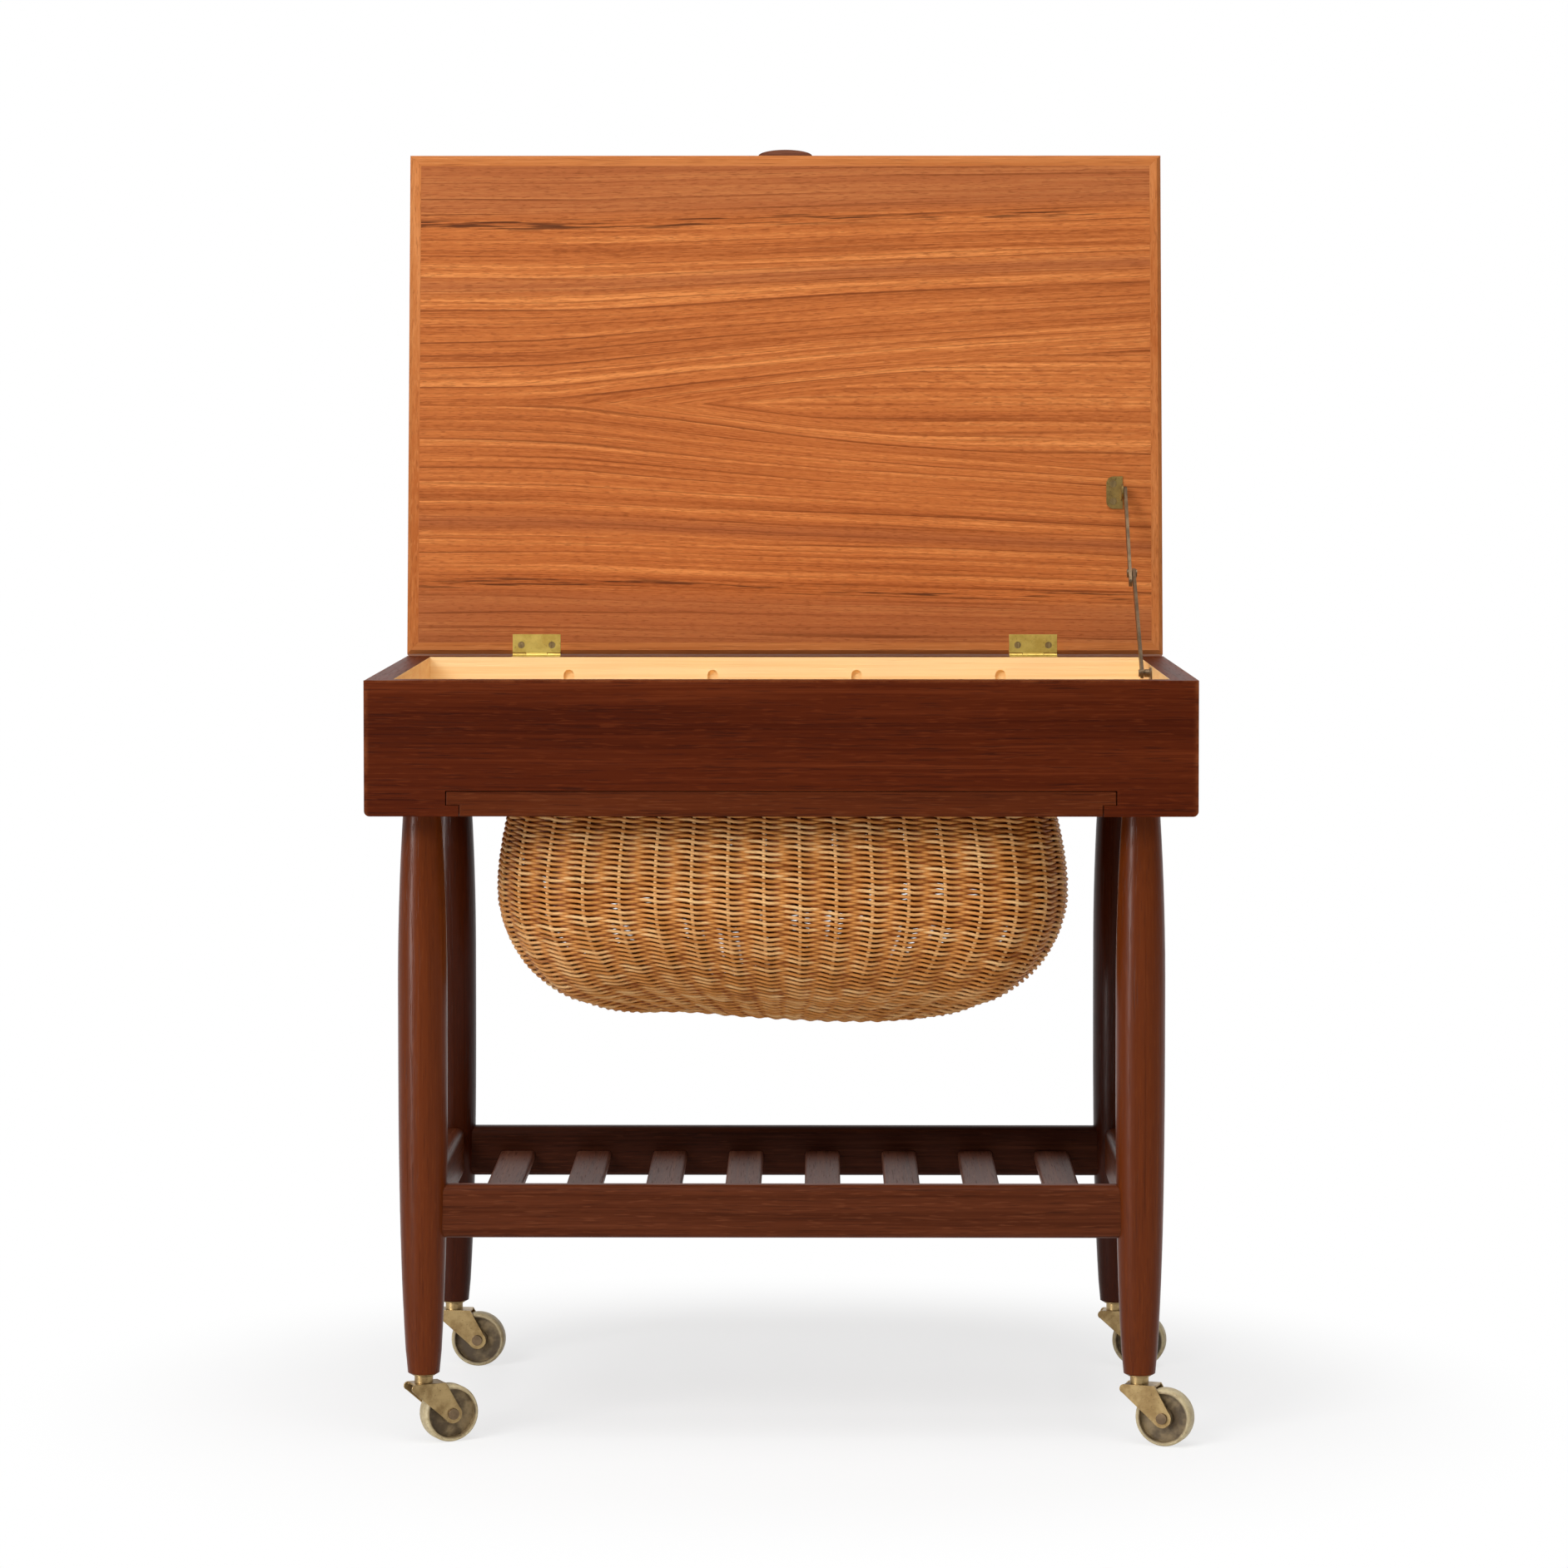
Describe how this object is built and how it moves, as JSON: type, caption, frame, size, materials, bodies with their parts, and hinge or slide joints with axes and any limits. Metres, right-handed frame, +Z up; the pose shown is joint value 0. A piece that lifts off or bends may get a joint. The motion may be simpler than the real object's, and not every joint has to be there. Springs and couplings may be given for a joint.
{
  "type": "sewing trolley",
  "caption": "Wooden sewing trolley with a hinged lid on a folding stay, divided tray, pull-out woven basket, slatted shelf and swivel casters.",
  "frame": {"origin": "on the floor, midway between the four legs", "axes": "+Z up, -Y the front, +X the right side seen from the front"},
  "size_m": [0.6016, 0.4674, 0.9622],
  "materials": {
    "teak": "satin",
    "lid_teak": "satin",
    "birch": "matte",
    "cane": "matte",
    "brass": "satin",
    "aged_brass": "satin",
    "cream_plastic": "matte"
  },
  "bodies": {
    "cabinet": {"front_panel": "teak", "back_panel": "teak", "left_panel": "teak", "right_panel": "teak", "left_bearer": "teak", "right_bearer": "teak", "leg_front_left": "teak", "leg_front_right": "teak", "leg_back_left": "teak", "leg_back_right": "teak", "shelf_front_rail": "teak", "shelf_back_rail": "teak", "shelf_left_rail": "teak", "shelf_right_rail": "teak", "slat_1": "teak", "slat_2": "teak", "slat_3": "teak", "slat_4": "teak", "slat_5": "teak", "slat_6": "teak", "slat_7": "teak", "slat_8": "teak", "bottom_board": "birch", "dividers": "birch", "caster_sockets": "brass", "hinge_box_leaves": "brass", "box_screws": "brass", "stay_box_bracket": "aged_brass"},
    "lid": {"lid_panel": "lid_teak", "lid_front_lipping": "lid_teak", "lid_back_lipping": "lid_teak", "lid_left_lipping": "lid_teak", "lid_right_lipping": "lid_teak", "lid_pull": "teak", "hinge_lid_leaves": "brass", "hinge_pins": "brass", "lid_screws": "brass", "stay_lid_bracket": "aged_brass"},
    "stay_upper": {"stay_upper_arm": "aged_brass", "stay_elbow_rivet": "aged_brass"},
    "stay_lower": {"stay_lower_arm": "aged_brass"},
    "basket_drawer": {"basket_front_rail": "teak", "basket_back_rail": "teak", "basket_left_runner": "teak", "basket_right_runner": "teak", "basket": "cane"},
    "caster_front_left": {"caster_front_left_fork": "aged_brass", "caster_front_left_axle": "aged_brass"},
    "wheel_front_left": {"caster_front_left_wheel": "cream_plastic"},
    "caster_front_right": {"caster_front_right_fork": "aged_brass", "caster_front_right_axle": "aged_brass"},
    "wheel_front_right": {"caster_front_right_wheel": "cream_plastic"},
    "caster_back_left": {"caster_back_left_fork": "aged_brass", "caster_back_left_axle": "aged_brass"},
    "wheel_back_left": {"caster_back_left_wheel": "cream_plastic"},
    "caster_back_right": {"caster_back_right_fork": "aged_brass", "caster_back_right_axle": "aged_brass"},
    "wheel_back_right": {"caster_back_right_wheel": "cream_plastic"}
  },
  "joints": [
    {"name": "lid_hinge", "type": "hinge", "parent": "cabinet", "child": "lid", "pos_m": [0, 0.2015, 0.55925], "axis": [1, 0, 0], "range_deg": [0, 97]},
    {"name": "stay_lid_pivot", "type": "hinge", "parent": "lid", "child": "stay_upper", "pos_m": [0.2701, 0.20861, 0.68935], "axis": [1, 0, 0], "range_deg": [0, 26.4]},
    {"name": "stay_elbow", "type": "hinge", "parent": "stay_upper", "child": "stay_lower", "pos_m": [0.2715, 0.14152, 0.6264], "axis": [1, 0, 0], "range_deg": [-167.2, 0]},
    {"name": "basket_slide", "type": "slide", "parent": "cabinet", "child": "basket_drawer", "axis": [0, -1, 0], "range_m": [0, 0.3]},
    {"name": "caster_front_left_swivel", "type": "hinge", "parent": "cabinet", "child": "caster_front_left", "pos_m": [-0.261, -0.161, 0.051], "axis": [0, 0, 1], "continuous": true},
    {"name": "wheel_front_left_spin", "type": "hinge", "parent": "caster_front_left", "child": "wheel_front_left", "pos_m": [-0.24333, -0.15276, 0.021], "axis": [-0.4226, 0.9063, 0], "continuous": true},
    {"name": "caster_front_right_swivel", "type": "hinge", "parent": "cabinet", "child": "caster_front_right", "pos_m": [0.261, -0.161, 0.051], "axis": [0, 0, 1], "continuous": true},
    {"name": "wheel_front_right_spin", "type": "hinge", "parent": "caster_front_right", "child": "wheel_front_right", "pos_m": [0.27932, -0.16767, 0.021], "axis": [0.342, 0.9397, 0], "continuous": true},
    {"name": "caster_back_left_swivel", "type": "hinge", "parent": "cabinet", "child": "caster_back_left", "pos_m": [-0.261, 0.161, 0.051], "axis": [0, 0, 1], "continuous": true},
    {"name": "wheel_back_left_spin", "type": "hinge", "parent": "caster_back_left", "child": "wheel_back_left", "pos_m": [-0.24157, 0.1593, 0.021], "axis": [0.0872, 0.9962, 0], "continuous": true},
    {"name": "caster_back_right_swivel", "type": "hinge", "parent": "cabinet", "child": "caster_back_right", "pos_m": [0.261, 0.161, 0.051], "axis": [0, 0, 1], "continuous": true},
    {"name": "wheel_back_right_spin", "type": "hinge", "parent": "caster_back_right", "child": "wheel_back_right", "pos_m": [0.2802, 0.15761, 0.021], "axis": [0.1736, 0.9848, 0], "continuous": true}
  ],
  "couplings": [
    {"joint": "stay_lid_pivot", "follows": "lid_hinge", "ratio": 0.27105},
    {"joint": "stay_elbow", "follows": "lid_hinge", "ratio": -1.7227}
  ]
}
